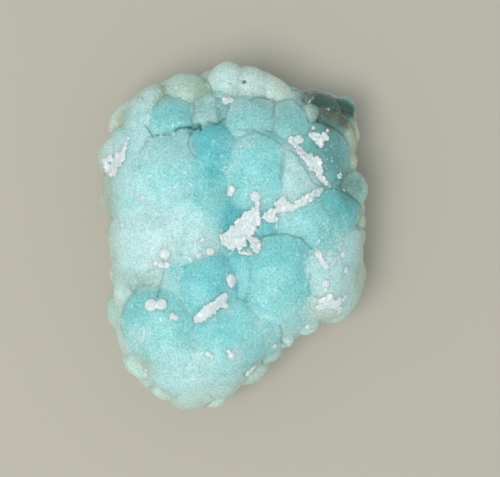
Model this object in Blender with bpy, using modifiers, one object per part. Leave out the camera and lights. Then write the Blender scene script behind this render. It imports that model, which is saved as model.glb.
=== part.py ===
"""Raw smithsonite: one loose botryoidal specimen, 50 mm long, lying on its broken back.

Run it with  blender --background --python part.py  or from the text editor.
The specimen grew as one piece, so it is one object: crowded domes, with low lumps of a
white crust grown on them, cut flat where it broke from the rock. +Z is up and +Y runs along its length.
"""
import math
import random

import bmesh
import bpy
from mathutils import Euler, Matrix, Vector, noise

MM = 0.001

# driving dimensions, in millimetres
LENGTH_Y = 50.0
WIDTH_X = 38.6
FLANK_RINGS = (         # rings of domes round the side: centre height, radius, inset from the outline, count
    (9.4, 3.5, 0.25, 25),
    (5.4, 3.3, 1.1, 24),
    (1.6, 3.5, 2.4, 21),
)
WARP_SIZE = 4.6         # wavelength and depth of the unevenness that bends the domes
WARP_DEPTH = 0.55
LUMP_HEIGHT = 0.60      # height of a white lump over its half width
KNOB_DEPTH = 0.85       # a rim knob's height over its mean half width

# build settings
SKIN_RINGS = 90
SKIN_SPOKES = 280
SKIN_FOOT = -3.0        # the lowest point of the skin's wall, below the face that is cut
VOXEL = 0.30
KEEP_FACES = 0.067      # share of the remeshed faces that the decimation keeps
FLANK_SEED = 11
NOISE_SEED = 7

# How far the outline seen from above is from the origin, every 15 degrees from the +X axis.
OUTLINE = (19.2, 19.9, 20.9, 25.0, 24.5, 23.1, 24.8, 24.8, 25.7, 25.0, 22.2, 19.5,
           18.3, 18.4, 20.6, 23.3, 25.2, 26.2, 23.1, 18.9, 17.5, 18.0, 20.6, 19.9)

# The broad shape under the domes: flat in the middle, with a round shoulder down to its edge.
PLATEAU = 16.5
EDGE_HEIGHT = 8.6       # the height where the shoulder ends
SHOULDER_POWER = 4.0    # larger for a flatter top
SHOULDER_ROUND = 0.36   # smaller for a sharper shoulder
TOP_REACH = 0.97        # the broad shape ends at this share of the way out
FOOT_REACH = 0.74       # and its wall leans in to this share at the foot

# One corner lies lower: its direction in degrees, where it starts, how wide its slope is, how far it drops.
CORNER_TURN = 50
CORNER_START = 20.2
CORNER_WIDTH = 2.0
CORNER_DROP = 3.4

# The domes on top are caps that stand on the broad shape.
SWELL = 0.48            # how much a cap bulges for its width
CAP_ROUND = 1.04        # close to 1 for caps with steep edges
PAST_EDGE = 3.0         # how steeply a cap falls away past its edge
CAP_BLEND = 0.10        # how softly the caps meet

# Each cap: x and y of its centre, lift, half width, half length, turn about Z in degrees.
CROWNS = {
    "west_crown": (-9.2, 9.2, 0.2, 6.4, 5.9, 0),
    "north_crown": (-2.6, 11.3, 0.1, 4.1, 5.2, 0),
    "east_crown": (4.2, 9.3, 0.3, 5.6, 6.0, 0),
    "east_facet": (7.6, 8.7, 0.2, 4.7, 5.8, 32),
    "mid_crown": (-5.0, 4.8, 0.0, 5.2, 4.8, 0),
    "middle_bridge": (-5.2, 0.0, -0.2, 4.8, 4.2, 0),
    "deep_hollow": (-0.4, 3.2, -0.5, 3.4, 3.6, 0),
    "east_hollow": (3.6, 3.0, -0.5, 3.4, 3.4, 0),
    "centre_dip": (1.6, -1.6, -0.4, 3.0, 3.0, 0),
    "heart": (-3.7, -6.8, 0.5, 4.4, 4.5, 0),
    "south_east_crown": (6.5, -5.4, 0.3, 5.0, 6.5, 0),
    "south_crown": (-0.2, -13.6, 0.3, 5.6, 5.6, 0),
    "south_west_crown": (-10.2, -12.3, 0.4, 5.7, 6.2, 0),
    "blue_wedge": (1.6, -5.0, 0.0, 2.6, 4.0, 0),
    "west_pale": (-12.4, -0.4, 0.2, 5.8, 4.9, 0),
    "cracked_knob": (-8.0, -5.8, 0.1, 2.6, 4.2, 0),
    "bridge_foot": (-1.6, -2.2, -0.4, 2.3, 2.1, 0),
}

SLOPES = {
    "west_shoulder": (-13.6, 12.4, 0.0, 4.0, 4.2, 0),
    "west_flank": (-14.0, 6.4, 0.0, 5.0, 4.6, 0),
    "west_notch": (-11.6, -5.6, 0.0, 3.4, 3.2, 0),
    "north_west_knob": (-12.5, 19.4, 0.2, 3.0, 2.8, 0),
    "north_west_step": (-13.0, 17.4, 0.2, 2.8, 3.0, 0),
    "shaded_knob": (-8.9, 16.8, 0.1, 3.3, 3.2, 0),
    "north_fold": (-3.6, 17.8, 0.0, 2.7, 2.6, 0),
    "crinkled_gap": (-1.7, 18.4, -0.1, 2.0, 2.4, 0),
    "north_teal": (3.0, 16.8, 0.1, 4.1, 3.2, 0),
    "north_east_knob": (8.2, 16.2, 0.2, 3.1, 3.3, 20),
    "teal_gap": (10.6, 13.4, -0.3, 2.7, 3.0, 0),
    "east_teal": (13.4, 11.8, 0.0, 3.1, 4.5, 0),
    "crust_foot": (12.4, 7.8, -0.3, 2.4, 2.6, 0),
    "east_blue": (14.8, 4.5, 0.0, 3.8, 2.7, -14),
    "crystal_slope": (9.8, 3.0, -0.2, 4.4, 3.6, 0),
    "east_saddle": (12.4, 0.2, 0.0, 3.3, 3.2, 0),
    "east_bead": (14.8, 0.9, 0.1, 2.1, 2.0, 0),
    "east_bench": (12.6, -4.4, 0.3, 3.0, 3.8, 0),
    "rough_bead": (11.2, -8.0, 0.0, 1.7, 1.8, 0),
    "south_shelf": (8.8, -11.0, 0.0, 3.4, 3.4, 0),
    "notch_slope": (4.3, -13.2, 0.0, 3.3, 3.9, 0),
    "south_knob": (-2.6, -18.8, 0.2, 4.0, 4.3, 0),
    "south_west_knob": (-8.2, -18.2, 0.2, 4.6, 4.7, 0),
    "west_edge": (-16.6, -5.6, -0.4, 3.4, 4.6, 0),
    "west_foot": (-15.6, -13.4, -0.4, 3.0, 3.4, 0),
    "east_pale": (16.0, -2.6, 0.0, 3.1, 3.9, 0),
    "east_corner": (15.8, -7.4, 0.1, 3.6, 3.4, 0),
    "cream_shelf": (12.6, -9.8, 0.1, 2.9, 2.7, 0),
    "south_edge": (-5.4, -22.2, -0.2, 3.6, 3.0, 0),
    "south_slope": (1.0, -17.8, 0.0, 3.2, 2.9, 0),
}

CAPS = tuple(CROWNS.values()) + tuple(SLOPES.values())

# Round knobs round the rim: as above, with how far the crown stands over the broad shape for the lift.
RIMS = {
    "west_tip": (-16.3, 11.2, 0.5, 2.6, 3.3, 0),
    "south_west_rim": (-12.8, -17.4, 0.1, 2.6, 2.7, 0),
    "cream_corner": (-15.7, 16.6, -1.2, 2.0, 2.5, -20),
    "north_knob": (-6.4, 20.1, 0.9, 3.4, 3.5, 0),
    "top_knob": (-0.6, 21.9, 1.5, 3.1, 3.2, 0),
    "top_bridge": (1.8, 21.8, 1.4, 3.2, 2.7, -15),
    "top_ridge": (4.4, 21.0, 1.3, 4.4, 2.2, -29),
    "green_bead": (10.9, 17.2, 1.3, 1.3, 1.3, 0),
    "north_east_back": (12.8, 19.0, 0.6, 4.3, 2.6, -8),
    "north_east_corner": (15.9, 18.4, 3.2, 2.2, 2.6, 0),
    "banded_ledge": (13.6, 16.0, 0.8, 3.3, 2.4, -15),
    "rusty_knob": (15.9, 14.1, 0.4, 1.7, 2.4, 0),
    "rusty_bead": (16.4, 10.8, -0.9, 1.4, 1.7, 0),
    "east_grey": (16.1, 6.9, 0.4, 3.0, 3.2, 0),
    "olive_bead": (17.6, 2.4, -0.7, 1.5, 2.1, 0),
    "shelf_bead": (10.3, -12.1, 0.4, 2.0, 1.8, 0),
    "notch_bead": (7.6, -14.1, 0.5, 1.1, 1.3, 0),
    "south_cream": (-2.9, -22.5, -0.3, 2.2, 1.9, 0),
    "south_west_cream": (-9.8, -21.4, -0.5, 2.2, 2.2, 0),
}

# White crust: each patch has the x, y and half width of every lump.
WHITE_PATCHES = {
    "centre": ((-0.3, -0.2, 1.2), (0.7, 0.7, 1.3), (1.5, 1.7, 1.3), (2.5, 2.8, 1.2), (3.2, 5.6, 0.8)),
    "centre_foot": ((3.2, -0.9, 0.9),),
    "diagonal": ((5.2, 2.9, 0.9), (6.7, 4.6, 1.0), (7.9, 4.4, 1.0), (9.3, 4.8, 0.8), (10.4, 5.4, 0.9),
                 (11.7, 6.3, 0.9)),
    "east": ((8.7, 13.5, 0.9), (9.6, 11.9, 0.9), (10.9, 10.6, 1.0), (11.9, 10.2, 1.0), (12.2, 8.5, 0.9)),
    "teal": ((11.9, 13.7, 0.8),),
    "heart": ((-4.4, -10.9, 0.9), (-3.3, -10.1, 0.9), (-2.2, -9.2, 0.9), (-0.1, -5.9, 0.9)),
    "west": ((-9.3, -2.2, 0.8), (-9.5, -3.7, 0.7), (-3.0, -1.9, 0.7)),
    "south_west": ((-11.2, -9.2, 0.9), (-9.7, -9.1, 0.8)),
    "south_east": ((12.1, -2.6, 0.7), (12.9, -6.3, 0.7), (13.0, -8.8, 0.9), (14.4, -9.3, 0.8)),
    "north": ((-0.1, 6.6, 0.7),),
}


def clear_scene():
    for old in list(bpy.data.objects):
        bpy.data.objects.remove(old)


def new_collection(name):
    collection = bpy.data.collections.new(name)
    bpy.context.scene.collection.children.link(collection)
    return collection


def stone_material():
    material = bpy.data.materials.new("smithsonite")
    material.use_nodes = True
    shader = material.node_tree.nodes["Principled BSDF"]
    shader.inputs["Base Color"].default_value = (0.36, 0.68, 0.67, 1.0)
    shader.inputs["Roughness"].default_value = 0.42
    shader.inputs["Metallic"].default_value = 0.0
    material.diffuse_color = shader.inputs["Base Color"].default_value
    return material


def outline_reach(angle):
    """How far the outline is from the origin in this direction: a smooth curve through OUTLINE."""
    count = len(OUTLINE)
    step = angle % math.tau / math.tau * count
    first = int(step)
    part = step - first
    before, start, end, after = (OUTLINE[(first + offset) % count] for offset in (-1, 0, 1, 2))
    bend = (end - before) / 2 + part * (before - 2.5 * start + 2 * end - after / 2)
    bend += part ** 2 * (1.5 * (start - end) + (after - before) / 2)
    return start + part * bend


def broad_height(x, y):
    """The broad shape alone, without its caps."""
    share = math.hypot(x, y) / outline_reach(math.atan2(y, x)) / TOP_REACH
    left = max(1 - share ** SHOULDER_POWER, 0) ** SHOULDER_ROUND
    turn = math.radians(CORNER_TURN)
    beyond = (x * math.cos(turn) + y * math.sin(turn) - CORNER_START) / CORNER_WIDTH
    beyond = min(max(beyond, 0), 1)
    drop = CORNER_DROP * beyond ** 2 * (3 - 2 * beyond)
    return EDGE_HEIGHT + (PLATEAU - EDGE_HEIGHT) * left - drop


def distance_squared(x, y, cap):
    """0 at the middle of the cap or knob and 1 at its edge."""
    centre_x, centre_y, _, half_width, half_length, turn = cap
    place = Matrix.Rotation(-math.radians(turn), 2) @ Vector((x - centre_x, y - centre_y))
    return (place.x / half_width) ** 2 + (place.y / half_length) ** 2


def cap_rise(x, y, cap):
    """How far the cap stands over the broad shape here: a round top, then a steep fall past its edge."""
    _, _, lift, half_width, half_length, _ = cap
    inside = CAP_ROUND ** 2 - distance_squared(x, y, cap)
    bulge = math.sqrt(max(inside, 0)) - math.sqrt(CAP_ROUND ** 2 - 1)
    return lift + SWELL * math.sqrt(half_width * half_length) * bulge + PAST_EDGE * min(inside, 0)


def lump_rise(x, y):
    """How far the white crust stands over the domes here."""
    rise = 0
    for patch in WHITE_PATCHES.values():
        for centre_x, centre_y, half_width in patch:
            inside = 1 - ((x - centre_x) ** 2 + (y - centre_y) ** 2) / half_width ** 2
            rise = max(rise, LUMP_HEIGHT * half_width * inside)
    return rise


def top_height(x, y):
    """The highest cap at this place, blended a little with the next, and the white crust on it."""
    rises = [cap_rise(x, y, cap) for cap in CAPS]
    highest = max(rises)
    blend = CAP_BLEND * math.log(sum(math.exp((rise - highest) / CAP_BLEND) for rise in rises))
    return broad_height(x, y) + highest + blend + lump_rise(x, y)


def rim_knobs():
    """Each round knob as its centre, its three radii and its turn, still in millimetres."""
    knobs = []
    for x, y, stand, half_width, half_length, turn in RIMS.values():
        depth = KNOB_DEPTH * (half_width + half_length) / 2
        centre = Vector((x, y, broad_height(x, y) + stand - depth))
        knobs.append((centre, Vector((half_width, half_length, depth)), math.radians(turn)))
    return knobs


def flank_knobs():
    """Rings of round knobs down the side, inset more and more toward the face that it rests on."""
    chance = random.Random(FLANK_SEED)
    knobs = []
    for height, radius, inset, count in FLANK_RINGS:
        for step in range(count):
            angle = math.tau * (step + chance.uniform(-0.25, 0.25)) / count
            size = radius * chance.uniform(0.82, 1.15)
            out = outline_reach(angle) - size - inset
            z = height + chance.uniform(-0.8, 0.8)
            centre = Vector((out * math.cos(angle), out * math.sin(angle), z))
            knobs.append((centre, Vector((size, size, size)), 0.0))
    return knobs


def warped(place):
    """Bends space a little, so that no dome is quite round and the creases wander."""
    return place + noise.noise_vector(place / WARP_SIZE) * WARP_DEPTH


def add_vertex(mesh, x, y, z):
    return mesh.verts.new(warped(Vector((x, y, z))) * MM)


def add_skin(mesh):
    """The top with all its caps, made of rings and spokes, with a wall under its edge and a closed foot."""
    angles = [math.tau * spoke / SKIN_SPOKES for spoke in range(SKIN_SPOKES)]
    reaches = [outline_reach(angle) * TOP_REACH for angle in angles]
    rings = []
    for ring in range(1, SKIN_RINGS + 1):
        share = math.sin(math.pi / 2 * ring / SKIN_RINGS)
        places = [(share * reach * math.cos(angle), share * reach * math.sin(angle))
                  for angle, reach in zip(angles, reaches)]
        rings.append([add_vertex(mesh, x, y, top_height(x, y)) for x, y in places])
    lean = FOOT_REACH / TOP_REACH
    rings.append([add_vertex(mesh, x * lean, y * lean, SKIN_FOOT) for x, y in places])

    middle = add_vertex(mesh, 0, 0, top_height(0, 0))
    for spoke in range(SKIN_SPOKES):
        mesh.faces.new((middle, rings[0][spoke - 1], rings[0][spoke]))
        for inner, outer in zip(rings, rings[1:]):
            mesh.faces.new((inner[spoke - 1], outer[spoke - 1], outer[spoke], inner[spoke]))
    mesh.faces.new(reversed(rings[-1]))


def add_ellipsoid(mesh, centre, radii, turn):
    matrix = Matrix.LocRotScale(centre, Euler((0, 0, turn)), radii)
    made = bmesh.ops.create_icosphere(mesh, subdivisions=4, radius=1, matrix=matrix)
    for vertex in made["verts"]:
        vertex.co = warped(vertex.co) * MM


def base_cutter(collection):
    """Everything below Z = 0 is cut away: the broken back that the specimen rests on."""
    deep = 20 * MM
    bpy.ops.mesh.primitive_cube_add(size=1, location=(0, 0, -deep / 2))
    cutter = bpy.context.object
    cutter.name = "base_cutter"
    cutter.scale = (2 * WIDTH_X * MM, 2 * LENGTH_Y * MM, deep)
    cutter.display_type = "WIRE"
    cutter.hide_render = True
    for holder in list(cutter.users_collection):
        holder.objects.unlink(cutter)
    collection.objects.link(cutter)
    return cutter


def specimen(collection, cutter):
    """Skin and knobs in one mesh, remeshed into one body, thinned, and cut flat below."""
    mesh = bmesh.new()
    add_skin(mesh)
    for knob in rim_knobs() + flank_knobs():
        add_ellipsoid(mesh, *knob)
    data = bpy.data.meshes.new("smithsonite")
    mesh.to_mesh(data)
    mesh.free()
    data.materials.append(stone_material())
    stone = bpy.data.objects.new("smithsonite", data)
    collection.objects.link(stone)

    remesh = stone.modifiers.new("one body", "REMESH")
    remesh.mode = "VOXEL"
    remesh.voxel_size = VOXEL * MM
    remesh.use_smooth_shade = True

    smooth = stone.modifiers.new("no voxel steps", "SMOOTH")
    smooth.factor = 0.5
    smooth.iterations = 2

    thin = stone.modifiers.new("fewer faces", "DECIMATE")
    thin.decimate_type = "COLLAPSE"
    thin.ratio = KEEP_FACES
    thin.use_collapse_triangulate = True

    cut = stone.modifiers.new("flat back", "BOOLEAN")
    cut.operation = "DIFFERENCE"
    cut.solver = "EXACT"
    cut.object = cutter
    return stone


def main():
    noise.seed_set(NOISE_SEED)
    clear_scene()
    cutters = new_collection("cutters")
    collection = new_collection("raw_smithsonite")
    specimen(collection, base_cutter(cutters))


main()
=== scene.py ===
import math
import random

import bmesh
import bpy
import numpy as np
from mathutils import Euler, Matrix, Vector, noise
from mathutils.bvhtree import BVHTree


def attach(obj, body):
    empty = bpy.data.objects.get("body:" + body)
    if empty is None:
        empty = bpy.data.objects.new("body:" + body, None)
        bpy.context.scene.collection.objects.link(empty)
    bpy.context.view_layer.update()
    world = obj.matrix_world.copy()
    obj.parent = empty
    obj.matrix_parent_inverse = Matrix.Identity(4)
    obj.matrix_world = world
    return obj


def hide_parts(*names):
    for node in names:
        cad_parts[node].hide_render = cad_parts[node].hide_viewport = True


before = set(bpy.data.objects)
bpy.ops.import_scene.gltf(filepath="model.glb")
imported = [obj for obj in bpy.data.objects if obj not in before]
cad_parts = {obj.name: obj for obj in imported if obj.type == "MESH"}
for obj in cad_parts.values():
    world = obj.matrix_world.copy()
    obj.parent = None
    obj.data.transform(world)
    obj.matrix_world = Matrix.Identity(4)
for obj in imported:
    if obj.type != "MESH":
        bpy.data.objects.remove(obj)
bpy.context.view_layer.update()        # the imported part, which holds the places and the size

mm = 0.001

# The stone's build settings. Lengths are in millimetres, as in all the tables here.
stone = {
    "plateau": 16.5,             # height of the broad shape in the middle
    "edgeHeight": 8.6,           # and where its round shoulder ends
    "shoulderPower": 4.0,
    "shoulderRound": 0.36,
    "topReach": 0.97,            # share of the way out where the broad shape ends
    "footReach": 0.74,
    "footHeight": -0.5,
    "cornerTurn": 50,            # the low corner at the upper right: its direction in degrees,
    "cornerStart": 20.2,         # where it starts, how wide its slope is and how far it drops
    "cornerWidth": 2.0,
    "cornerDrop": 3.4,
    "swell": 0.48,               # how much a cap bulges for its width
    "capRound": 1.04,            # close to 1 for caps with steep edges
    "capBlend": 0.16,            # how softly the caps meet
    "softBlend": 0.75,           # and how much more softly in the soft places
    "knobDepth": 0.85,           # a rim knob's height over its mean half width
    "warpSize": 4.6,             # the large unevenness
    "warpDepth": 0.55,
    "rippleSize": 1.7,           # the small unevenness
    "rippleDepth": 0.12,
    "pebbleSize": 0.55,
    "pebbleDepth": 0.05,
    "creaseDepth": 0.03,         # how far the creases are cut in, and how wide they are
    "creaseWidth": 0.16,
    "softCrease": 0.9,           # how much of a crease is lost in the soft places
    "lookBlend": 0.13,           # how softly the colours of two domes meet
    "insideWidth": 1.6,          # how far the paler edge of a dome reaches in
    "sideSeed": 5,
    "noiseSeed": 7,              # the same as the solid's, so that both bend the same way
    "thinning": (                # low and high limit of each band, and how readily it gives up faces
        (0, 0.01, 0.52),
        (0.01, 7, 0.5),
        (7, 99, 0.02),
    ),
    "rimStart": 0.88,            # where the cream rim starts, as a share of the way out
    "backRelief": 0.45,          # how rough the broken back is, and how large its lumps are
    "backSize": 5.0,
    "backHeight": 0.9,           # where the back's colour ends, and over how much height it fades
    "backFade": 0.5,
    "topStart": 6.0,             # the marks of the top start here and are full this much higher
    "topFade": 3.0,
    "markWander": 0.25,          # how much lines wander from their places; marks do twice as much
    "voxel": 0.18,
    "bandPull": 5.0,             # how strongly the bands decide where faces are given up
    "triangles": 190000,
    "flankRings": (              # centre height, radius, inset from the outline, count
        (9.4, 3.5, 0.25, 25),
        (5.4, 3.3, 1.1, 24),
        (1.6, 3.5, 2.4, 21),
    ),
    "flankSeed": 11,
    "skinRings": 120,
    "skinSpokes": 400,
    # how far the outline is from the middle, every 15 degrees from the +X axis
    "outline": (19.2, 19.9, 20.9, 25.0, 24.5, 23.1, 24.8, 24.8, 25.7, 25.0, 22.2, 19.5,
                18.3, 18.4, 20.6, 23.3, 25.2, 26.2, 23.1, 18.9, 17.5, 18.0, 20.6, 19.9),
}

# Caps on top: x, y, lift, half width, half length, turn in degrees,
# then blue (0 pale, 1 deep turquoise) and warm (1 cream and green).
caps = {
    "westCrown": (-9.2, 9.2, 0.2, 6.4, 5.9, 0, 0.36, 0.0),
    # the north crown's deep turquoise is partly painted shadow, from the west crown above it
    "northCrown": (-2.6, 11.3, 0.1, 4.1, 5.2, 0, 0.85, 0.0),
    "eastCrown": (4.2, 9.3, 0.3, 5.6, 6.0, 0, 0.50, 0.0),
    "eastFacet": (7.6, 8.7, 0.2, 4.7, 5.8, 32, 0.22, 0.05),
    "midCrown": (-5.0, 4.8, 0.0, 5.2, 4.8, 0, 0.38, 0.0),
    "middleBridge": (-5.2, 0.0, -0.2, 4.8, 4.2, 0, 0.16, 0.0),
    # the deep hollow's deep turquoise is partly painted shade in its recess
    "deepHollow": (-0.4, 3.2, -0.5, 3.4, 3.6, 0, 0.92, 0.0),
    "eastHollow": (3.6, 3.0, -0.5, 3.4, 3.4, 0, 0.80, 0.0),
    "centreDip": (1.6, -1.6, -0.4, 3.0, 3.0, 0, 0.80, 0.0),
    "heart": (-3.7, -6.8, 0.5, 4.4, 4.5, 0, 0.60, 0.0),
    "southEastCrown": (6.5, -5.4, 0.3, 5.0, 6.5, 0, 0.56, 0.05),
    "southCrown": (-0.2, -13.6, 0.3, 5.6, 5.6, 0, 0.46, 0.0),
    "southWestCrown": (-10.2, -12.3, 0.4, 5.7, 6.2, 0, 0.50, 0.08),
    "blueWedge": (1.6, -5.0, 0.0, 2.6, 4.0, 0, 0.66, 0.0),
    "westPale": (-12.4, -0.4, 0.2, 5.8, 4.9, 0, 0.0, 0.0),
    "crackedKnob": (-8.0, -5.8, 0.1, 2.6, 4.2, 0, 0.38, 0.0),
    "bridgeFoot": (-1.6, -2.2, -0.4, 2.3, 2.1, 0, 0.70, 0.0),
    "westShoulder": (-13.6, 12.4, 0.0, 4.0, 4.2, 0, 0.25, 0.0),
    "westFlank": (-14.0, 6.4, 0.0, 5.0, 4.6, 0, 0.20, 0.05),
    "westNotch": (-11.6, -5.6, 0.0, 3.4, 3.2, 0, 0.30, 0.55),
    "northWestKnob": (-12.5, 19.4, 0.2, 3.0, 2.8, 0, 0.22, 0.35),
    "northWestStep": (-13.0, 17.4, 0.2, 2.8, 3.0, 0, 0.22, 0.1),
    # the shaded knob's darker teal is partly painted shadow from the west crown
    "shadedKnob": (-8.9, 16.8, 0.1, 3.3, 3.2, 0, 0.55, 0.1),
    "northFold": (-3.6, 17.8, 0.0, 2.7, 2.6, 0, 0.35, 0.3),
    "crinkledGap": (-1.7, 18.4, -0.1, 2.0, 2.4, 0, 0.60, 0.3),
    "northTeal": (3.0, 16.8, 0.1, 4.1, 3.2, 0, 0.42, 0.1),
    "northEastKnob": (8.2, 16.2, 0.2, 3.1, 3.3, 20, 0.55, 0.15),
    "tealGap": (10.6, 13.4, -0.3, 2.7, 3.0, 0, 0.75, 0.2),
    "eastTeal": (13.4, 11.8, 0.0, 3.1, 4.5, 0, 0.92, 0.3),
    "crustFoot": (12.4, 7.8, -0.3, 2.4, 2.6, 0, 0.70, 0.3),
    # the east blue's deep turquoise is partly painted shade
    "eastBlue": (14.8, 4.5, 0.0, 3.8, 2.7, -14, 0.78, 0.1),
    "crystalSlope": (9.8, 3.0, -0.2, 4.4, 3.6, 0, 0.50, 0.05),
    "eastSaddle": (12.4, 0.2, 0.0, 3.3, 3.2, 0, 0.62, 0.1),
    "eastBead": (14.8, 0.9, 0.1, 2.1, 2.0, 0, 0.55, 0.0),
    "eastBench": (12.6, -4.4, 0.3, 3.0, 3.8, 0, 0.22, 0.15),
    "roughBead": (11.2, -8.0, 0.0, 1.7, 1.8, 0, 0.30, 0.1),
    "southShelf": (8.8, -11.0, 0.0, 3.4, 3.4, 0, 0.38, 0.15),
    "notchSlope": (4.3, -13.2, 0.0, 3.3, 3.9, 0, 0.42, 0.15),
    "southKnob": (-2.6, -18.8, 0.2, 4.0, 4.3, 0, 0.28, 0.3),
    "southWestKnob": (-8.2, -18.2, 0.2, 4.6, 4.7, 0, 0.28, 0.15),
    "westEdge": (-16.6, -5.6, -0.4, 3.4, 4.6, 0, 0.10, 0.5),
    "westFoot": (-15.6, -13.4, -0.4, 3.0, 3.4, 0, 0.18, 0.6),
    "eastPale": (16.0, -2.6, 0.0, 3.1, 3.9, 0, 0.14, 0.1),
    "eastCorner": (15.8, -7.4, 0.1, 3.6, 3.4, 0, 0.04, 0.2),
    "creamShelf": (12.6, -9.8, 0.1, 2.9, 2.7, 0, 0.05, 0.75),
    "southEdge": (-5.4, -22.2, -0.2, 3.6, 3.0, 0, 0.08, 0.4),
    "southSlope": (1.0, -17.8, 0.0, 3.2, 2.9, 0, 0.30, 0.3),
}

# Round knobs round the rim: the same, with how far the crown stands over the broad shape for the lift.
rimKnobs = {
    "westTip": (-16.3, 11.2, 0.5, 2.6, 3.3, 0, 0.10, 0.2),
    "southWestRim": (-12.8, -17.4, 0.1, 2.6, 2.7, 0, 0.15, 0.7),
    "creamCorner": (-15.7, 16.6, -1.2, 2.0, 2.5, -20, 0.05, 1.0),
    "northKnob": (-6.4, 20.1, 0.9, 3.4, 3.5, 0, 0.30, 0.6),
    "topKnob": (-0.6, 21.9, 1.5, 3.1, 3.2, 0, 0.10, 0.5),
    "topBridge": (2.2, 21.6, 1.5, 3.6, 2.8, -20, 0.0, 0.9),
    "topRidge": (4.9, 20.9, 1.3, 4.6, 2.4, -29, 0.0, 1.1),
    "greenBead": (10.9, 17.2, 1.3, 1.3, 1.3, 0, 0.40, 0.8),
    "northEastBack": (12.8, 19.0, 0.6, 4.3, 2.6, -8, 0.95, 0.9),
    "northEastCorner": (15.9, 18.4, 3.2, 2.2, 2.6, 0, 0.90, 0.8),
    "bandedLedge": (13.6, 16.0, 0.8, 3.3, 2.4, -15, 0.80, 0.8),
    "rustyKnob": (15.9, 14.1, 0.4, 1.7, 2.4, 0, 0.55, 1.0),
    "rustyBead": (16.4, 10.8, -0.9, 1.4, 1.7, 0, 0.50, 1.0),
    "eastGrey": (16.1, 6.9, 0.4, 3.0, 3.2, 0, 0.55, 0.6),
    "oliveBead": (17.6, 2.4, -0.7, 1.5, 2.1, 0, 0.40, 0.9),
    "shelfBead": (10.3, -12.1, 0.4, 2.0, 1.8, 0, 0.22, 0.3),
    "notchBead": (7.6, -14.1, 0.5, 1.1, 1.3, 0, 0.12, 0.3),
    "southCream": (-2.9, -22.5, -0.3, 2.2, 1.9, 0, 0.05, 0.8),
    "southWestCream": (-9.8, -21.4, -0.5, 2.2, 2.2, 0, 0.05, 0.9),
}


def outlineReach(angle):    # a smooth curve through the outline, for one angle or an array of them
    reach = np.array(stone["outline"])
    count = len(reach)
    step = np.mod(angle, math.tau) / math.tau * count
    first = np.floor(step).astype(int)
    part = step - first
    before, start, end, after = (reach[(first + offset) % count] for offset in (-1, 0, 1, 2))
    bend = (end - before) / 2 + part * (before - 2.5 * start + 2 * end - after / 2)
    bend = bend + part ** 2 * (1.5 * (start - end) + (after - before) / 2)
    return start + part * bend


def smoothStep(share):
    share = np.clip(share, 0, 1)
    return share * share * (3 - 2 * share)


def broadHeight(x, y):
    share = np.hypot(x, y) / outlineReach(np.arctan2(y, x)) / stone["topReach"]
    left = np.maximum(1 - share ** stone["shoulderPower"], 0) ** stone["shoulderRound"]
    turn = math.radians(stone["cornerTurn"])
    beyond = x * math.cos(turn) + y * math.sin(turn) - stone["cornerStart"]
    drop = stone["cornerDrop"] * smoothStep(beyond / stone["cornerWidth"])
    return stone["edgeHeight"] + (stone["plateau"] - stone["edgeHeight"]) * left - drop


def distanceSquared(x, y, dome):    # 0 at the middle of a dome and 1 at its edge
    turn = math.radians(dome[5])
    along = (x - dome[0]) * math.cos(turn) + (y - dome[1]) * math.sin(turn)
    across = (y - dome[1]) * math.cos(turn) - (x - dome[0]) * math.sin(turn)
    return (along / dome[3]) ** 2 + (across / dome[4]) ** 2


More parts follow.
